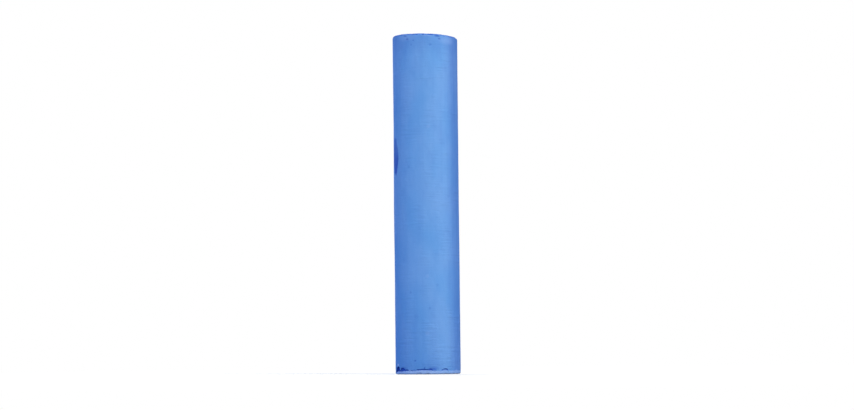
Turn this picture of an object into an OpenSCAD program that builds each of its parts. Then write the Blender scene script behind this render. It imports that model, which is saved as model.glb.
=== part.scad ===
// A round stick of pressed soft pastel, standing on one of its two cut ends.
//
// Millimetres, +Z up. The origin is the middle of the foot, the end that the
// stick stands on, and the axis runs up +Z. The front faces -Y. Places round the
// stick are angles from the front, positive towards +X.
//
// The stick is pressed and cut as one piece, so it is one solid. Its wear is part
// of its form: both rims are rubbed round, the top end was cut a little off
// square, the foot's rim has three chips, and the left side has one rubbed flat.

/* [Stick] */
// Diameter of the stick
stick_d = 12.4; // [9:0.1:18]
// Length from the foot to the middle of the top end
stick_h = 64; // [50:0.5:90]

/* [Ends] */
// Radius rubbed on the foot's rim
foot_rim_r = 0.25; // [0.1:0.05:0.4]
// Radius rubbed on the top rim
top_rim_r = 0.45; // [0.1:0.05:1]
// Angle that the top end is off square
top_slant = 2; // [0:0.25:4]
// Place round the stick where the top end is lowest
top_low_angle = 90; // [-180:5:180]

/* [Corner chip] */
// Place of its middle round the foot's rim
corner_chip_angle = -58; // [-180:1:180]
// How far it reaches up the side
corner_chip_rise = 0.95; // [0.3:0.05:2]
// How far it reaches in across the foot
corner_chip_bite = 0.8; // [0.3:0.05:2]
// Radius of its scooped surface
corner_chip_r = 4.1; // [2.5:0.1:8]

/* [Long flake] */
// Place of its middle round the foot's rim
long_flake_angle = -8; // [-180:1:180]
// How far it reaches up the side
long_flake_rise = 0.3; // [0.3:0.05:2]
// How far it reaches in across the foot
long_flake_bite = 0.5; // [0.3:0.05:2]
// Radius of its scooped surface
long_flake_r = 5.5; // [2.5:0.1:8]

/* [Small chip] */
// Place of its middle round the foot's rim
small_chip_angle = 32; // [-180:1:180]
// How far it reaches up the side
small_chip_rise = 0.5; // [0.3:0.05:2]
// How far it reaches in across the foot
small_chip_bite = 0.5; // [0.3:0.05:2]
// Radius of its scooped surface
small_chip_r = 1.2; // [0.8:0.1:4]

/* [Side flat] */
// Place of its middle round the stick
side_flat_angle = -68; // [-180:1:180]
// Height of its middle above the foot
side_flat_z = 41; // [10:0.5:45]
// Length along the stick
side_flat_l = 7; // [3:0.5:15]
// Depth at its middle
side_flat_depth = 0.2; // [0.05:0.05:0.6]

/* [Hidden] */

stick_r = stick_d / 2;
rim_steps = 3; // flats that stand for a rubbed rim's quarter round
clear = 1; // how far each cutting shape runs past what it cuts
pastel_blue = [0.40, 0.60, 0.87];
$fn = 120;

// Turns and shifts children, drawn at the front, to a place round the stick.
module at_place(angle) {
    rotate([0, 0, angle]) children();
}

// Half the outline of the stick below its top, as a radius against a height.
module foot_profile() {
    square([stick_r - foot_rim_r, stick_h + clear]);
    translate([0, foot_rim_r]) square([stick_r, stick_h + clear - foot_rim_r]);
    translate([stick_r - foot_rim_r, foot_rim_r]) circle(foot_rim_r);
}

// The straight blank with its foot's rim rubbed round, longer than the stick.
module blank() {
    rotate_extrude() foot_profile();
}

// All that lies under the top end, whose rim is rubbed round. The cut face is the
// plane z = 0 here, and the rest is wide enough to clear the slanted blank.
module under_top() {
    rim = [
        for (i = [0 : rim_steps])
            let (a = 90 * i / rim_steps)
            [stick_r - top_rim_r * (1 - sin(a)), -top_rim_r * (1 - cos(a))]
    ];
    last_run = rim[rim_steps] - rim[rim_steps - 1];
    run_out = rim[rim_steps] + last_run * clear / last_run[0];
    far_r = stick_r + stick_h * sin(top_slant) + 2 * clear;
    far_z = -stick_h - 2 * clear;
    rotate_extrude()
        polygon(concat([[0, 0]], rim, [run_out, [far_r, run_out[1]], [far_r, far_z], [0, far_z]]));
}

// The ball that scoops a chip out of the foot's rim: its surface meets the side at
// height rise, and the foot at the distance bite in from the rim.
module rim_chip(angle, rise, bite, scoop_r) {
    chord = norm([rise, bite]);
    back = sqrt(pow(scoop_r, 2) - pow(chord / 2, 2));
    middle = [stick_r - bite / 2, rise / 2];
    centre = middle + back * [rise, -bite] / chord;
    at_place(angle) translate([0, -centre[0], centre[1]]) sphere(scoop_r);
}

// The roller that rubs the flat: it lies across the stick and bites to its depth.
module side_flat() {
    roller_r = (pow(side_flat_l / 2, 2) + pow(side_flat_depth, 2)) / (2 * side_flat_depth);
    at_place(side_flat_angle)
        translate([0, -(stick_r - side_flat_depth + roller_r), side_flat_z])
            rotate([0, 90, 0]) cylinder(h = stick_d, r = roller_r, center = true);
}

module pastel_stick() {
    color(pastel_blue) difference() {
        intersection() {
            blank();
            at_place(top_low_angle) translate([0, 0, stick_h]) rotate([top_slant, 0, 0]) under_top();
        }
        rim_chip(corner_chip_angle, corner_chip_rise, corner_chip_bite, corner_chip_r);
        rim_chip(long_flake_angle, long_flake_rise, long_flake_bite, long_flake_r);
        rim_chip(small_chip_angle, small_chip_rise, small_chip_bite, small_chip_r);
        side_flat();
    }
}

pastel_stick();
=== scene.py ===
"""A soft pastel stick: round, chalky and blue, standing on its chipped foot.

The CAD model gives the stick's size. Here its one solid is replaced by a mesh of the same form
with the real surface: ripples and streaks on the side, rubbed rims, rough breaks and cut ends.
Lengths are in millimetres, apart from some in the studio, which are marked as metres. Angles are
given in degrees. Places round the stick are angles from the front, which faces -Y, positive towards
+X, and heights are above the foot or, if negative, below the top.
"""
import math

import bpy
import numpy as np
from mathutils import Matrix, Vector


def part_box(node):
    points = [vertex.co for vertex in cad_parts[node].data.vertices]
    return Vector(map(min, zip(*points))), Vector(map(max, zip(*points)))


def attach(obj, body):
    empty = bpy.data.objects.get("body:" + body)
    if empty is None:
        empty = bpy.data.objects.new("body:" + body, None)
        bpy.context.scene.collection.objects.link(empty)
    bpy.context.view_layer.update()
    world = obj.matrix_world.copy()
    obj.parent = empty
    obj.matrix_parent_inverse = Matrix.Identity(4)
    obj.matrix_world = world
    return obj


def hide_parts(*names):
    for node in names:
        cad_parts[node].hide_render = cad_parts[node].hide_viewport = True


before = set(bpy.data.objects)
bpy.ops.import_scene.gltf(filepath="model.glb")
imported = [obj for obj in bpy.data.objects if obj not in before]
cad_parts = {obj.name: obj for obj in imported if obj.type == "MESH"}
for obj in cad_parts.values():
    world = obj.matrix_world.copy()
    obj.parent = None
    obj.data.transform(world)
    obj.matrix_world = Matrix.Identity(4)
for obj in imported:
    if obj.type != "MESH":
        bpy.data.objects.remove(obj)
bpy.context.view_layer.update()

MM = 0.001
STICK_LOW, STICK_HIGH = (np.array(corner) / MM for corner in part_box("pastel_stick"))

# The stick, as in the CAD model
RADIUS = (STICK_HIGH[0] - STICK_LOW[0]) / 2
FOOT_RIM = 0.25
TOP_RIM = 0.45
TOP_SLANT = math.radians(2)  # lowest at +X
HEIGHT = STICK_HIGH[2] - (RADIUS - TOP_RIM) * math.sin(TOP_SLANT)
SLANT_BEGINS, SLANT_FULL = 10, 1  # below the top

# The mesh's steps: along the outline they are fine near the two rims, and round the stick they are
# fine where the foot is chipped
FOOT_STEP = 0.06
TOP_STEP = 0.12
COARSE_STEP = 0.9
FINE_REACH = 1.2  # how far from a rim the steps stay fine
RIM_STEPS = 8
CHIPPED = (-90, 45)
CHIPPED_STEP = 0.5
WHOLE_STEP = 1.8

# The surface lies a little inside the CAD solid, so that its relief stays within it. The side's
# streaks and swells: size of the bumps, depth and seed
INSET = 0.05
SIDE_RELIEF = [
    ((1.1, 1.1, 70), 0.006, 11),
    ((3, 3, 70), 0.008, 12),
    ((7, 7, 9), 0.020, 13),
    ((2.2, 2.2, 2.2), 0.006, 14),
]
SIDE_FADE = 0.3  # how far in from the side its relief gives way to that of the cut ends
CUT_MARKS = 0.022  # depth of the marks on the cut ends
RIM_WEAR = 0.03  # depth lost all along the rims, made uneven by the two crumbles
CRUMBLE = 0.06
FINE_CRUMBLE = 0.02
RIM_REACH = 0.4  # how far the wear reaches from a rim

# Seeds of the other random bumps
CRUMBLE_SEED, FINE_CRUMBLE_SEED = 21, 25
CUT_SEED = 31
RUB_SEED, FINE_RUB_SEED = 51, 56
FLAKE_SEED, FLAKE_EDGE_SEED = 61, 81
DUST_SEED, SMUDGE_SEED = 91, 95

# The foot's rim is a powdery lip, lower on the left. Flakes are lost from the side just above it:
# place, half the width, rise and depth, and how deep the colour of the break is at its edge and in
# its middle, from 0 to 1. That colour is partly the break's own deeper blue and partly painted shade,
# which darkens some breaks most at their edge
LIP = 0.60
LIP_DROP = 0.36
LIP_DROPS = (3.5, 6)  # from and to how far left of the middle
LIP_CUT = 0.04  # how far down into the lip a flake reaches
FLAKE_WALL = 0.05  # how wide the step at a flake's edge is
FLAKES = [
    (-67, 1.14, 1.14, 0.50, 1.0, 1.0),
    (-50.5, 0.74, 0.86, 0.25, 0.9, 0.9),
    (-44, 0.95, 0.36, 0.15, 0.9, 0.8),
    (-30, 0.95, 0.12, 0.08, 0.8, 0.8),
    (-25, 0.28, 0.38, 0.04, 0.5, 0.4),
    (-8, 1.68, 0.36, 0.18, 0.7, 0.65),
    (4.5, 0.52, 0.44, 0.14, 0.8, 0.75),
    (10, 0.60, 0.50, 0.02, 0.35, 0.3),
    (30.5, 0.72, 0.44, 0.16, 1.0, 0.4),
]
# Small pits at the front: place, height, half the width, half the height and depth
FRONT_PITS = [
    (-33, -1.1, 0.34, 0.19, 0.07),
    (-21, -1.4, 0.22, 0.14, 0.04),
    (-25, -2.2, 0.22, 0.18, 0.03),
    (9, -2.1, 0.38, 0.22, 0.03),
    (26, -0.9, 0.34, 0.16, 0.06),
    (-37, -0.55, 0.46, 0.15, 0.07),
    (-51, -0.2, 0.30, 0.16, 0.05),
    (-6, 1.08, 0.10, 0.32, 0.07),
    (-23, 2.5, 0.22, 0.14, 0.06),
]
DEEPEST_PIT = max(depth for *_, depth in FRONT_PITS)
# Spots of pale dust, two of them painted highlights, and deeper smudges: place, height, half the
# width, half the height, strength and softness of the edge
DUST_AND_HIGHLIGHT_SPOTS = [
    # painted highlight on the edge above the corner break
    (-66, 1.70, 0.42, 0.26, 0.9, 0.4),
    (-57, 0.45, 0.14, 0.50, 0.5, 0.7),
    (-34, 0.69, 0.40, 0.14, 0.8, 0.4),
    (60, 0.50, 0.80, 0.30, 0.5, 0.4),
    (42, -1.0, 2.60, 1.30, 0.32, 0.9),
    (-36, -0.8, 2.60, 0.90, 0.25, 0.9),
    # painted highlight: a pale line just under the top rim
    (3, -0.44, 1.60, 0.14, 0.35, 0.7),
]
SMUDGES = [
    (1, 1.2, 3.8, 2.0, 0.12, 0.9),
    (9, 1.05, 1.7, 0.65, 0.45, 0.9),
    (-44, 1.3, 2.8, 1.8, 0.06, 0.9),
    (-48, 1.1, 1.6, 0.6, 0.35, 0.9),
    (-46, -0.22, 0.55, 0.16, 0.5, 0.6),
    (-14, -0.22, 0.35, 0.16, 0.6, 0.6),
    (-3, -0.27, 0.22, 0.18, 0.6, 0.6),
    (11, -0.22, 0.60, 0.16, 0.8, 0.6),
    (22, -0.42, 0.62, 0.14, 0.7, 0.6),
    (35, -0.26, 0.45, 0.16, 0.4, 0.6),
]
# A long shallow rub on the side: place, height and length
SIDE_RUB = (-70, 41, 7.6)
RUB_DEPTH = 0.14

PORE_SPACING = 1.5  # between the pinholes of the pressed pigment
# Faint specks up the front, deeper or pale: place, height, size and strength
DEEP_SPECKS = [
    (4, 12.3, 0.34, 0.17),
    (-20, 10.8, 0.60, 0.08),
    (-30.5, 15.3, 0.38, 0.20),
    (18, 16.6, 0.38, 0.11),
    (-32, 38.9, 0.38, 0.12),
]
PALE_SPECKS = [
    (0.5, 18.3, 0.50, 0.14),
    (-0.5, 7.6, 0.60, 0.12),
    (5, 46.4, 0.50, 0.15),
]

# Colours, as sRGB fractions
PASTEL = (0.408, 0.630, 0.898)
DEEP = (0.020, 0.235, 0.700)
RICH_BLUE = (0.030, 0.480, 0.850)
POWDER = (0.600, 0.725, 0.950)

# Noises of the material: size of their bumps, and how much finer detail they have
NOISES = {
    "clouds": ((5, 5, 10), 4),
    "patches": ((2, 2, 4), 4),
    "streaks": ((0.7, 0.7, 25), 2),
    "scratches": ((0.35, 0.35, 5), 3),
    "crumbs": ((0.35, 0.35, 0.35), 4),
    "fine": ((0.16, 0.16, 0.16), 3),
    "grain": ((0.12, 0.12, 0.12), 3),
    "ripples": ((3.5, 3.5, 0.45), 1),
    "ripple_patches": ((3, 3, 5), 2),
    "drag_marks": ((4, 0.35, 4), 3),
}
# Deeper blue in three of them: from and to where in the noise, and its full share
DEEPER = [
    ("patches", 0.45, 0.75, 0.07),
    ("streaks", 0.45, 0.75, 0.04),
    ("grain", 0.55, 0.80, 0.14),
]

# The studio, in linear colours. The floor is matt grey to the light and pale to the camera, and it
# fades to white further off. Lamps: azimuth from the front, elevation, size in metres, watts and colour
FLOOR_HALF = 3.0  # metres
FLOOR_GREY = (0.45, 0.45, 0.45, 1)
FLOOR_SEEN = (0.85, 0.815, 0.76, 1)
FLOOR_GLOW = 0.23
FLOOR_FADE = (0.04, 0.18)  # metres from the middle
WHITE = (1, 1, 1, 1)
SKY = (0.72, 0.95, 1.34, 1)
SKY_STRENGTH = 0.30
LAMP_DISTANCE = 0.9  # metres
LAMPS = {
    "key": (38, 35, 0.40, 6.0, (1.0, 0.94, 0.80)),
    "front": (0, 25, 1.00, 1.5, (1.0, 0.96, 0.90)),
    "left": (-92, 20, 0.50, 2.0, (0.85, 1.0, 1.4)),
    "back": (195, 35, 0.50, 4.5, (1.0, 0.97, 0.92)),
}

# The camera, low in front of the stick, looks up its side and is rolled a little
CAMERA_PLACE = (0.09, -420, 4)
LENS = 93.5
CLIP = (0.01, 20)  # metres
LOOK_UP = 3.813
ROLL = -0.57


# ---------------------------------------------------------------- shape

def wobble(points, size, seed, waves=40):
    """Smooth random heights, mostly in -1 to 1, with bumps about `size` across."""
    random = np.random.default_rng(seed)
    pitch = random.normal(size=(waves, 3)) / np.broadcast_to(size, 3) * 2
    phase = random.uniform(0, 2 * math.pi, waves)
    return np.cos(points @ pitch.T + phase).sum(axis=1) / math.sqrt(waves)


def rough(points, size, seed, octaves=3):
    """Wobbles added up, each half the size and height of the one before."""
    size = np.array(size)
    return sum(wobble(points, size / 2**i, seed + i) / 2**i for i in range(octaves))


def smooth_step(value, low, high):
    """0 below low, 1 above high and smooth between."""
    t = np.clip((value - low) / (high - low), 0, 1)
    return t * t * (3 - 2 * t)


def graded(low, high, low_step, high_step):
    """Values from low to high, in steps of the given sizes near the ends and coarse between."""
    values = [low]
    while values[-1] < high:
        steps = []
        for step, reach in ((low_step, values[-1] - low), (high_step, high - values[-1])):
            growth = smooth_step(reach, FINE_REACH, 4 * FINE_REACH)
            steps.append(step + (COARSE_STEP - step) * growth)
        values.append(values[-1] + min(steps))
    return low + (np.array(values) - low) * (high - low) / (values[-1] - low)


def outline():
    """The stick's half outline, from the middle of the foot to the middle of the top."""
    quarter = np.linspace(0, math.pi / 2, RIM_STEPS + 1)
    foot = graded(0, RADIUS - FOOT_RIM, COARSE_STEP, FOOT_STEP)[1:]
    side = graded(FOOT_RIM, HEIGHT - TOP_RIM, FOOT_STEP, TOP_STEP)[1:-1]
    top = graded(0, RADIUS - TOP_RIM, COARSE_STEP, TOP_STEP)[-2:0:-1]
    radii = [
        foot,
        RADIUS - FOOT_RIM * (1 - np.sin(quarter[1:])),
        np.full(len(side), RADIUS),
        RADIUS - TOP_RIM * (1 - np.cos(quarter)),
        top,
    ]
    heights = [
        np.zeros(len(foot)),
        FOOT_RIM * (1 - np.cos(quarter[1:])),
        side,
        HEIGHT - TOP_RIM * (1 - np.sin(quarter)),
        np.full(len(top), HEIGHT),
    ]
    return np.concatenate(radii), np.concatenate(heights)


def stick_grid():
    """Points on the unworn stick, ring by ring, with the middles of the foot and top last."""
    radii, heights = outline()
    chipped = np.arange(*CHIPPED, CHIPPED_STEP)
    whole = np.arange(CHIPPED[1], CHIPPED[0] + 360, WHOLE_STEP)
    angle = np.radians(np.concatenate([chipped, whole]))
    x = np.outer(radii, np.sin(angle))
    y = np.outer(radii, -np.cos(angle))
    z = np.broadcast_to(heights[:, None], x.shape)
    points = np.stack([x, y, z], axis=2).reshape(-1, 3)
    return np.vstack([points, [[0, 0, 0], [0, 0, HEIGHT]]]), len(radii), len(angle)


def stick_faces(rings, around):
    """The grid's faces, all facing out."""
    low = np.arange(rings - 1)[:, None] * around
    here = np.arange(around)[None, :]
    beside = (here + 1) % around
    quads = np.stack([low + here, low + beside, low + around + beside, low + around + here], axis=2)
    foot_middle = rings * around
    last = (rings - 1) * around
    fans = [(foot_middle, (i + 1) % around, i) for i in range(around)]
    fans += [(foot_middle + 1, last + i, last + (i + 1) % around) for i in range(around)]
    return quads.reshape(-1, 4).tolist() + fans


def inward(points):
    """Each point's unit direction to the core of the stick."""
    core = np.zeros_like(points)
    core[:, 2] = np.clip(points[:, 2], RADIUS, HEIGHT - RADIUS)
    to_core = core - points
    return to_core / np.linalg.norm(to_core, axis=1, keepdims=True)


def side_rub(points, angle, height, length):
    """Depth of a long shallow rub on the side with ragged ends, below 0 outside it."""
    turn = math.radians(angle)
    radius = (length**2 / 4 + RUB_DEPTH**2) / (2 * RUB_DEPTH)
    across = points[:, 0] * math.sin(turn) - points[:, 1] * math.cos(turn)
    bulge = np.square(points[:, 2] - height) / (2 * radius)
    ragged = 0.022 * rough(points, (0.6, 0.6, 3), RUB_SEED) + 0.010 * rough(points, 1.5, FINE_RUB_SEED)
    return np.where(across > 0, across - (RADIUS - RUB_DEPTH + bulge + ragged), -RUB_DEPTH)


def nearness(points, angle, height, across, up):
    """1 at a place on the side, falling to 0 at the ellipse round it and below 0 outside."""
    turn = math.radians(angle)
    out = points[:, 0] * math.sin(turn) - points[:, 1] * math.cos(turn)
    beside = points[:, 0] * math.cos(turn) + points[:, 1] * math.sin(turn)
    near = 1 - np.hypot(beside / across, (points[:, 2] - height) / up)
    return np.where(out > 0, near, -1)


def lip_height(points):
    """How high the lip is at each point's place round the stick."""
    return LIP - LIP_DROP * smooth_step(-points[:, 0], *LIP_DROPS)


def add_flakes(points, depth):
    """The flakes' half ellipses, cut in above the lip with a rough surface.

    Also how far each point is inside a break, and how deep the colour is there, partly painted shade.
    """
    lip = lip_height(points)
    inside = np.full(len(points), -1.0)
    tone = np.ones(len(points))
    for i, (angle, across, rise, deepest, at_edge, at_middle) in enumerate(FLAKES):
        near = nearness(points, angle, lip, across, rise)
        near += 0.08 * rough(points, 0.5, FLAKE_EDGE_SEED + i)
        within = np.minimum(near * min(across, rise), points[:, 2] - lip + LIP_CUT)
        opened = smooth_step(within, 0.0, FLAKE_WALL)
        bottom = 0.8 + np.clip(near, 0, 0.5) + 0.2 * rough(points, 0.3, FLAKE_SEED + i)
        depth = np.maximum(depth, opened * deepest * bottom)
        shade = at_edge + (at_middle - at_edge) * smooth_step(near, 0.2, 0.5)
        tone = np.where(within > inside, shade, tone)
        inside = np.maximum(inside, within)
    return depth, inside, tone


def spots(points, places, seed):
    """How strong the nearest spot is at each point. The less soft a spot, the more ragged it is."""
    total = np.zeros(len(points))
    for angle, height, across, up, strength, softness in places:
        near = nearness(points, angle, height % HEIGHT, across, up)
        near += 0.33 * (1 - softness) * rough(points, 0.4, seed)
        total = np.maximum(total, strength * smooth_step(near, 0.0, softness))
    return total


def plain_depth(points, side, rim):
    """Depth of the pressed side, the crumbling rims and the cut ends, without the damage."""
    relief = sum(deep * wobble(points, size, seed) for size, deep, seed in SIDE_RELIEF)
    crumble = CRUMBLE * np.maximum(rough(points, 0.9, CRUMBLE_SEED), -0.4)
    crumble += FINE_CRUMBLE * rough(points, 0.3, FINE_CRUMBLE_SEED)
    cut = CUT_MARKS * rough(points, (2.4, 0.5, 1.0), CUT_SEED)
    return INSET + side * relief + rim * (RIM_WEAR + crumble) + (1 - side) * cut


def add_pits(points, depth):
    """The small pits, sunk into the surface, and how deep in a pit each point is, from 0 to 1."""
    pitted = np.zeros(len(points))
    for angle, height, across, up, deepest in FRONT_PITS:
        pit = deepest * smooth_step(nearness(points, angle, height % HEIGHT, across, up), -0.2, 0.8)
        depth = depth + pit
        pitted = np.maximum(pitted, pit / DEEPEST_PIT)
    return depth, pitted


def stick_mesh():
    """The stick's surface, with a mask on it for each thing that the material paints."""
    points, rings, around = stick_grid()
    from_axis = np.hypot(points[:, 0], points[:, 1])
    to_end = np.minimum(points[:, 2], HEIGHT - points[:, 2])
    side = smooth_step(from_axis, RADIUS - SIDE_FADE, RADIUS)
    rim = np.exp(-np.hypot(RADIUS - from_axis, to_end) / RIM_REACH)

    depth, broken, tone = add_flakes(points, plain_depth(points, side, rim))
    rubbed = side_rub(points, *SIDE_RUB)
    depth, pitted = add_pits(points, np.maximum(depth, rubbed))

    moved = points + inward(points) * depth[:, None]
    tilt = smooth_step(points[:, 2], HEIGHT - SLANT_BEGINS, HEIGHT - SLANT_FULL)
    moved[:, 2] -= moved[:, 0] * math.tan(TOP_SLANT) * tilt
    moved[:, 2] -= moved[:, 2].min()

    mesh = bpy.data.meshes.new("pastel_stick_surface")
    mesh.from_pydata((moved * MM).tolist(), [], stick_faces(rings, around))
    mesh.shade_smooth()
    masks = {
        "broken": broken,
        "tone": tone,
        "rubbed": rubbed / RUB_DEPTH,
        "pitted": pitted,
        "rim": rim,
        "lip": lip_height(points) - points[:, 2],
        "ends": 1 - side,
        "dust_and_highlight": spots(points, DUST_AND_HIGHLIGHT_SPOTS, DUST_SEED),
        "smudged": spots(points, SMUDGES, SMUDGE_SEED),
    }
    for name, values in masks.items():
        mesh.attributes.new(name, "FLOAT", "POINT").data.foreach_set("value", values.astype("f4"))
    return mesh


# ---------------------------------------------------------------- materials

def linear(srgb):
    """An sRGB colour as Blender's linear colour."""
    return [c / 12.92 if c <= 0.04045 else ((c + 0.055) / 1.055) ** 2.4 for c in srgb] + [1]


def add_node(tree, kind, inputs=None, **settings):
    """A new node with its settings, and its inputs linked or set by name or number."""
    made = tree.nodes.new(kind)
    for name, value in settings.items():
        setattr(made, name, value)
    for name, value in (inputs or {}).items():
        if isinstance(value, bpy.types.NodeSocket):
            tree.links.new(value, made.inputs[name])
        else:
            made.inputs[name].default_value = value
    return made


def maths(tree, operation, a, b=0.0):
    return add_node(tree, "ShaderNodeMath", {0: a, 1: b}, operation=operation).outputs[0]


def times(tree, a, b):
    return maths(tree, "MULTIPLY", a, b)


def larger(tree, a, b):
    return maths(tree, "MAXIMUM", a, b)


def mix_colour(tree, share, a, b):
    """Colour a, turning to b where share is 1."""
    made = add_node(tree, "ShaderNodeMix", {0: share, 6: a, 7: b}, data_type="RGBA")
    return made.outputs[2]


def deepen(tree, share, colour):
    """The colour, turning to the deep blue of the pigment where share is 1."""
    return mix_colour(tree, share, colour, linear(DEEP))


def remap(tree, value, low, high, to_low=0.0, to_high=1.0):
    """The value, mapped from low..high to to_low..to_high and held there."""
    inputs = {0: value, 1: low, 2: high, 3: to_low, 4: to_high}
    return add_node(tree, "ShaderNodeMapRange", inputs, interpolation_type="SMOOTHSTEP").outputs[0]


def axes(tree, place):
    return add_node(tree, "ShaderNodeSeparateXYZ", {0: place}).outputs


def noise(tree, place, name):
    """One of the noises, about 0.5. Each is made only once in a material."""
    if name not in tree.nodes:
        size, detail = NOISES[name]
        scale = [1 / s for s in size]
        stretched = add_node(tree, "ShaderNodeMapping", {"Vector": place, "Scale": scale})
        inputs = {"Vector": stretched.outputs[0], "Scale": 1.0, "Detail": detail}
        add_node(tree, "ShaderNodeTexNoise", inputs, name=name)
    return tree.nodes[name].outputs[0]


def frayed(tree, place, value, amount):
    """The value, made finely uneven, so that an edge that it draws is ragged."""
    fine = maths(tree, "SUBTRACT", noise(tree, place, "fine"), 0.5)
    return maths(tree, "ADD", value, times(tree, fine, amount))


def mask(tree, name):
    """One of the mesh's masks."""
    return add_node(tree, "ShaderNodeAttribute", attribute_name=name).outputs["Fac"]


def new_material(name):
    material = bpy.data.materials.new(name)
    material.use_nodes = True
    return material, material.node_tree, material.node_tree.nodes["Principled BSDF"]


def pinholes(tree, place):
    """1 in the pinholes of the pressed pigment, which differ in size and are missing in places."""
    cells = add_node(tree, "ShaderNodeTexVoronoi", {"Vector": place, "Scale": 1 / PORE_SPACING})
    chance = add_node(tree, "ShaderNodeSeparateColor", {0: cells.outputs["Color"]}).outputs[0]
    size = remap(tree, chance, 0.4, 1.0, 0.0, 0.07)
    return remap(tree, maths(tree, "SUBTRACT", cells.outputs["Distance"], size), 0.0, -0.03)


def specks(tree, place, places):
    """How strong the nearest speck is."""
    strongest = 0.0
    for angle, height, size, strength in places:
        turn = math.radians(angle)
        middle = (RADIUS * math.sin(turn), -RADIUS * math.cos(turn), height)
        away = add_node(tree, "ShaderNodeVectorMath", {0: place, 1: middle}, operation="DISTANCE")
        speck = remap(tree, away.outputs["Value"], size, 0.3 * size, 0.0, strength)
        strongest = larger(tree, strongest, speck)
    return strongest


def add_dust(tree, place, colour):
    """Thin dust in soft clouds, with patches, streaks and grain of deeper blue."""
    share = remap(tree, noise(tree, place, "clouds"), 0.3, 0.7, 0.0, 0.22)
    colour = mix_colour(tree, share, colour, linear(POWDER))
    for name, low, high, full in DEEPER:
        colour = deepen(tree, remap(tree, noise(tree, place, name), low, high, 0.0, full), colour)
    return colour


def add_painted_side_shade(tree, place, colour):
    """Painted shade: deeper blue round the sides, more on the right and less behind."""
    x, y, _ = axes(tree, place)
    begun = remap(tree, x, -4, 4, -0.78 * RADIUS, -0.86 * RADIUS)
    full = remap(tree, x, -4, 4, -0.20 * RADIUS, -0.45 * RADIUS)
    # painted shade round the sides, strongest on the right
    side_shade = remap(tree, y, begun, full, 0.0, remap(tree, x, -4, 4, 0.22, 0.40))
    side_shade = times(tree, side_shade, remap(tree, y, -0.3 * RADIUS, 0.6 * RADIUS, 1.0, 0.35))
    side_shade = times(tree, side_shade, remap(tree, noise(tree, place, "streaks"), 0.3, 0.7, 0.85, 1.0))
    return deepen(tree, side_shade, colour)


def add_low_and_top_tint(tree, place, colour):
    """Richer blue low down and on the left, and deeper blue near the foot and the top."""
    x, _, z = axes(tree, place)
    richer = times(tree, remap(tree, z, 45, 5), remap(tree, x, 5, -1, 0.04, 0.11))
    richer = maths(tree, "ADD", richer, remap(tree, x, 3, -3, 0.0, 0.07))
    colour = mix_colour(tree, richer, colour, linear(RICH_BLUE))
    low = times(tree, remap(tree, z, 18, 2), remap(tree, x, 4, -4, 0.03, 0.12))
    high = remap(tree, z, HEIGHT - 5, HEIGHT - 1.5, 0.0, 0.12)
    return deepen(tree, larger(tree, low, high), colour)


def add_marks(tree, place, colour):
    """Mottled ends, smudges and specks, and painted shade in the pinholes and pits."""
    crumbs = noise(tree, place, "crumbs")
    mottled = times(tree, remap(tree, crumbs, 0.45, 0.7, 0.0, 0.2), mask(tree, "ends"))
    smudged = larger(tree, mask(tree, "smudged"), specks(tree, place, DEEP_SPECKS))
    # painted shade in the pinholes and the pits
    pinhole_shade = times(tree, pinholes(tree, place), 0.4)
    pitted = times(tree, mask(tree, "pitted"), 0.75)
    for share in (mottled, smudged, pinhole_shade, pitted):
        colour = deepen(tree, share, colour)
    return colour


def add_damage(tree, place, colour):
    """Deep blue in the ragged rub, scratched along its length and with painted shade in its lower half,
    and in the breaks, partly their own colour and partly painted shade.
    """
    _, _, z = axes(tree, place)
    edge = frayed(tree, place, mask(tree, "rubbed"), 0.3)
    # the rub's lower half is deeper blue: painted shade
    rubbed = remap(tree, edge, 0.0, 0.3, 0.0, remap(tree, z, 42, 40, 0.55, 0.75))
    scratches = noise(tree, place, "scratches")
    rubbed = times(tree, rubbed, remap(tree, scratches, 0.3, 0.6, 0.65, 1.0))
    colour = deepen(tree, rubbed, colour)
    # the breaks' deep blue is partly their own colour and partly painted shade, darkest at some edges
    edge = frayed(tree, place, mask(tree, "broken"), 0.12)
    break_colour_and_shade = times(tree, remap(tree, edge, 0.0, 0.03), mask(tree, "tone"))
    break_colour_and_shade = times(tree, break_colour_and_shade, remap(tree, noise(tree, place, "crumbs"), 0.3, 0.7, 1.0, 0.85))
    return deepen(tree, break_colour_and_shade, colour)


def add_top_rim_line(tree, place, colour):
    """A broken line of deeper blue along the top rim."""
    _, _, z = axes(tree, place)
    rim_line = remap(tree, mask(tree, "rim"), 0.35, 0.6, 0.0, remap(tree, z, 20, 40))
    rim_line = times(tree, rim_line, remap(tree, noise(tree, place, "crumbs"), 0.35, 0.65, 0.15, 0.7))
    rim_line = times(tree, rim_line, remap(tree, noise(tree, place, "patches"), 0.4, 0.55, 0.35, 1.0))
    return deepen(tree, rim_line, colour)


def add_powder(tree, place, colour):
    """Pale powder on the foot's lip, less of it on the right, and in the spots of dust, two of them
    painted highlights.
    """
    x, _, _ = axes(tree, place)
    edge = frayed(tree, place, mask(tree, "lip"), 0.2)
    lip = remap(tree, edge, -0.04, 0.04, 0.0, remap(tree, x, 0, 4, 0.85, 0.55))
    dust_and_highlight = larger(tree, mask(tree, "dust_and_highlight"), specks(tree, place, PALE_SPECKS))
    return mix_colour(tree, larger(tree, lip, dust_and_highlight), colour, linear(POWDER))


def pastel_colour(tree, place):
    """Blue pigment under dust, wear and tints, with painted shade and highlights among them, one layer on
    another.
    """
    colour = linear(PASTEL)
    for layer in (add_dust, add_painted_side_shade, add_low_and_top_tint, add_marks, add_damage, add_top_rim_line, add_powder):
        colour = layer(tree, place, colour)
    return colour


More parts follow.
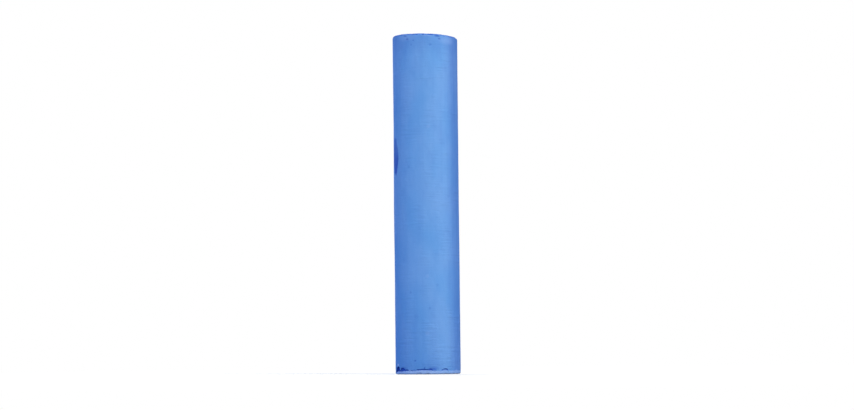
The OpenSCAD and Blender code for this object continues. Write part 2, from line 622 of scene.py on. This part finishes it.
def pastel_relief(tree, place):
    """Fine grain and pinholes, patches of ripples across the stick, streaks along it and cut ends."""
    x, _, _ = axes(tree, place)
    patches = remap(tree, noise(tree, place, "ripple_patches"), 0.42, 0.62, 0.15, 1.0)
    rippled = times(tree, patches, remap(tree, x, -3, 2, 0.07, 0.12))
    dragged = times(tree, mask(tree, "ends"), 0.12)
    heights = {"grain": 0.03, "ripples": rippled, "streaks": 0.006, "drag_marks": dragged}
    total = times(tree, pinholes(tree, place), -0.04)
    for name, height in heights.items():
        total = maths(tree, "ADD", total, times(tree, noise(tree, place, name), height))
    bump = add_node(tree, "ShaderNodeBump", {"Height": total, "Distance": MM, "Strength": 1.0})
    return bump.outputs[0]


def pastel_material():
    material, tree, surface = new_material("pressed_pastel")
    coordinates = add_node(tree, "ShaderNodeTexCoord").outputs["Object"]
    place = add_node(tree, "ShaderNodeMapping", {"Vector": coordinates, "Scale": (1 / MM,) * 3}).outputs[0]
    tree.links.new(pastel_colour(tree, place), surface.inputs["Base Color"])
    tree.links.new(pastel_relief(tree, place), surface.inputs["Normal"])
    surface.inputs["Roughness"].default_value = 0.95
    surface.inputs["Specular IOR Level"].default_value = 0.15
    return material


def floor_material():
    """Matt, with the stick's shadow, and plain white to the camera further off."""
    material, tree, surface = new_material("pale_floor")
    surface.inputs["Roughness"].default_value = 1.0
    surface.inputs["Specular IOR Level"].default_value = 0.0
    seen = add_node(tree, "ShaderNodeLightPath").outputs["Is Camera Ray"]
    tree.links.new(mix_colour(tree, seen, FLOOR_GREY, FLOOR_SEEN), surface.inputs["Base Color"])
    surface.inputs["Emission Color"].default_value = WHITE
    tree.links.new(times(tree, seen, FLOOR_GLOW), surface.inputs["Emission Strength"])
    coordinates = add_node(tree, "ShaderNodeTexCoord").outputs["Object"]
    away = add_node(tree, "ShaderNodeVectorMath", {0: coordinates}, operation="LENGTH").outputs["Value"]
    far = times(tree, seen, remap(tree, away, *FLOOR_FADE))
    white = add_node(tree, "ShaderNodeEmission", {"Color": WHITE, "Strength": 1.0})
    shaders = {0: far, 1: surface.outputs[0], 2: white.outputs[0]}
    mixed = add_node(tree, "ShaderNodeMixShader", shaders)
    tree.links.new(mixed.outputs[0], tree.nodes["Material Output"].inputs["Surface"])
    return material


# ---------------------------------------------------------------- the stick and its studio

def make_stick():
    stick = bpy.data.objects.new("soft_pastel", stick_mesh())
    bpy.context.collection.objects.link(stick)
    stick.data.materials.append(pastel_material())
    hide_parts("pastel_stick")
    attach(stick, "root")


def make_floor():
    mesh = bpy.data.meshes.new("floor")
    corners = [(x * FLOOR_HALF, y * FLOOR_HALF, 0) for x, y in ((-1, -1), (1, -1), (1, 1), (-1, 1))]
    mesh.from_pydata(corners, [], [(0, 1, 2, 3)])
    floor = bpy.data.objects.new("floor", mesh)
    bpy.context.collection.objects.link(floor)
    mesh.materials.append(floor_material())


def make_world():
    """Soft even light from all round, behind which the camera sees white."""
    world = bpy.data.worlds.new("studio")
    bpy.context.scene.world = world
    world.use_nodes = True
    tree = world.node_tree
    tree.nodes.clear()
    path = add_node(tree, "ShaderNodeLightPath").outputs
    seen = larger(tree, path["Is Camera Ray"], path["Is Glossy Ray"])
    seen = larger(tree, seen, path["Is Transmission Ray"])
    sky = add_node(tree, "ShaderNodeBackground", {"Color": SKY, "Strength": SKY_STRENGTH})
    white = add_node(tree, "ShaderNodeBackground", {"Color": WHITE, "Strength": 1.0})
    mixed = add_node(tree, "ShaderNodeMixShader", {0: seen, 1: sky.outputs[0], 2: white.outputs[0]})
    add_node(tree, "ShaderNodeOutputWorld", {"Surface": mixed.outputs[0]})


def add_lamp(name, azimuth, elevation, size, watts, colour):
    """A square lamp that points at the middle of the stick."""
    data = bpy.data.lights.new(name, "AREA")
    data.size = size
    data.energy = watts
    data.color = colour
    a, e = math.radians(azimuth), math.radians(elevation)
    away = Vector((math.sin(a) * math.cos(e), -math.cos(a) * math.cos(e), math.sin(e)))
    lamp = bpy.data.objects.new(name, data)
    bpy.context.collection.objects.link(lamp)
    lamp.location = Vector((0, 0, HEIGHT / 2 * MM)) + away * LAMP_DISTANCE
    lamp.rotation_euler = away.to_track_quat("Z", "Y").to_euler()


def make_lamps():
    for name, lamp in LAMPS.items():
        add_lamp(name, *lamp)


def make_camera():
    data = bpy.data.cameras.new("camera")
    data.lens = LENS
    data.clip_start, data.clip_end = CLIP
    camera = bpy.data.objects.new("camera", data)
    bpy.context.collection.objects.link(camera)
    place = Matrix.Translation(Vector(CAMERA_PLACE) * MM)
    pitch = Matrix.Rotation(math.radians(90 + LOOK_UP), 4, "X")
    roll = Matrix.Rotation(math.radians(ROLL), 4, "Z")
    camera.matrix_world = place @ pitch @ roll
    bpy.context.scene.camera = camera


make_camera()
make_stick()
make_floor()
make_world()
make_lamps()
bpy.context.scene.view_settings.view_transform = "Standard"
